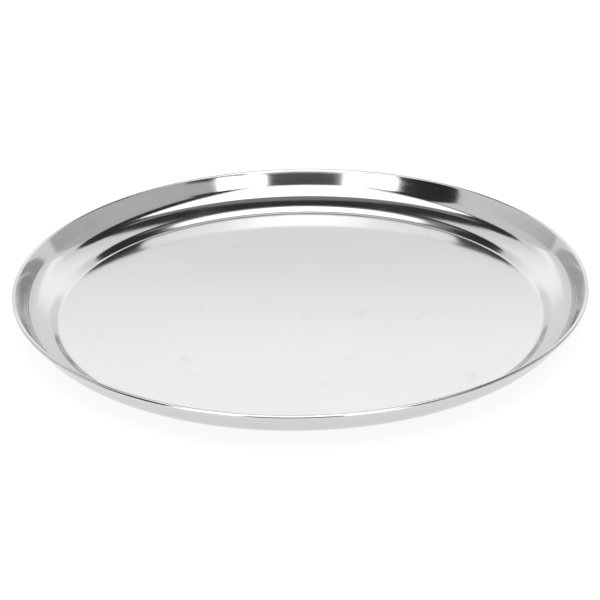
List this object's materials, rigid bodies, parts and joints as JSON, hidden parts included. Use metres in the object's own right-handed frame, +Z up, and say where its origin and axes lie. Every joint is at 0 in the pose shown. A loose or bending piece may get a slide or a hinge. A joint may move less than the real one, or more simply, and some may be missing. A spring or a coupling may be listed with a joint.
{
  "type": "serving tray",
  "caption": "Round stainless serving tray with a flat mirror-polished floor, a low stiffening step, a rising ring, a steep wall and a rolled rim, for carrying and presenting food or drinks",
  "frame": {"origin": "centre of the tray's circle, on the surface that it stands on", "axes": "+Z up along the tray's axis of revolution, +X to the right, +Y to the back"},
  "size_m": [0.4, 0.4, 0.025],
  "materials": {
    "steel": "mirror-polished stainless steel"
  },
  "bodies": {
    "root": {"tray": "steel"}
  },
  "joints": []
}
